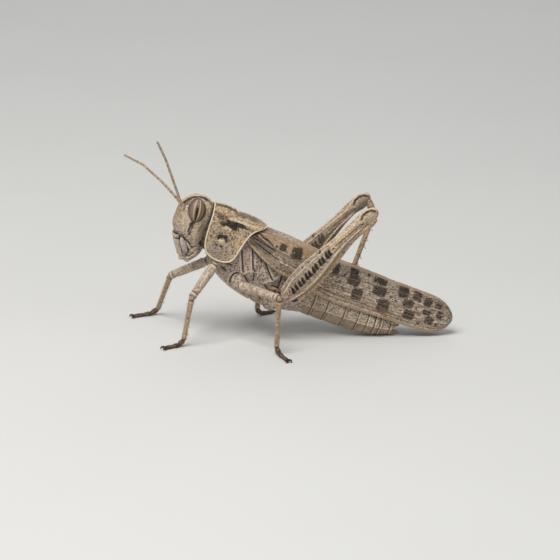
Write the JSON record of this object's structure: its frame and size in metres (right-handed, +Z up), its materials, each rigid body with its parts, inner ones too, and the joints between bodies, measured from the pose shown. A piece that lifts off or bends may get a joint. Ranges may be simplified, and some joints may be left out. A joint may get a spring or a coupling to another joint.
{
  "type": "locust",
  "caption": "Desert locust as a still, life-size museum model: wings folded, one hind leg drawn up, standing with its tail on the floor.",
  "frame": {"origin": "centre of the box round the whole animal, at the level of the floor it stands on", "axes": "+X towards the wing tips, with the head at -X; +Y towards the animal's right side; +Z up from the floor"},
  "size_m": [0.067, 0.0334, 0.0411],
  "materials": {
    "shell": "speckled tan chitin plates of the head, thorax and walking legs",
    "pale_shell": "paler buff chitin with dark marks, on the shield, feelers and hind legs",
    "belly": "yellow-brown chitin rings with pale rear edges",
    "eye": "glossy brown compound eye with pale upright stripes",
    "wing": "leathery veined fore wing, tan with dark brown blotches",
    "foot": "dark brown foot with blackish claws"
  },
  "bodies": {
    "root": {"head": "shell", "clypeus_labrum": "shell", "eye_left": "eye", "antenna_left": "pale_shell", "mandible_left": "shell", "maxilla_left": "shell", "eye_right": "eye", "antenna_right": "pale_shell", "mandible_right": "shell", "maxilla_right": "shell", "labium": "shell", "pronotum": "pale_shell", "prothorax": "shell", "mesothorax": "shell", "metathorax": "shell", "abdomen_segment_1": "belly", "abdomen_segment_2": "belly", "abdomen_segment_3": "belly", "abdomen_segment_4": "belly", "abdomen_segment_5": "belly", "abdomen_segment_6": "belly", "abdomen_segment_7": "belly", "abdomen_segment_8": "belly", "ovipositor_upper": "belly", "ovipositor_lower": "belly", "cercus_left": "belly", "cercus_right": "belly", "tegmen_left": "wing", "tegmen_right": "wing", "coxa_fore_left": "shell", "femur_fore_left": "shell", "tibia_fore_left": "shell", "tarsus_fore_left": "foot", "coxa_fore_right": "shell", "femur_fore_right": "shell", "tibia_fore_right": "shell", "tarsus_fore_right": "foot", "coxa_mid_left": "shell", "femur_mid_left": "shell", "tibia_mid_left": "shell", "tarsus_mid_left": "foot", "coxa_mid_right": "shell", "femur_mid_right": "shell", "tibia_mid_right": "shell", "tarsus_mid_right": "foot", "coxa_hind_left": "shell", "femur_hind_left": "pale_shell", "tibia_hind_left": "pale_shell", "tarsus_hind_left": "foot", "coxa_hind_right": "shell", "femur_hind_right": "pale_shell", "tibia_hind_right": "pale_shell", "tarsus_hind_right": "foot"}
  },
  "joints": []
}
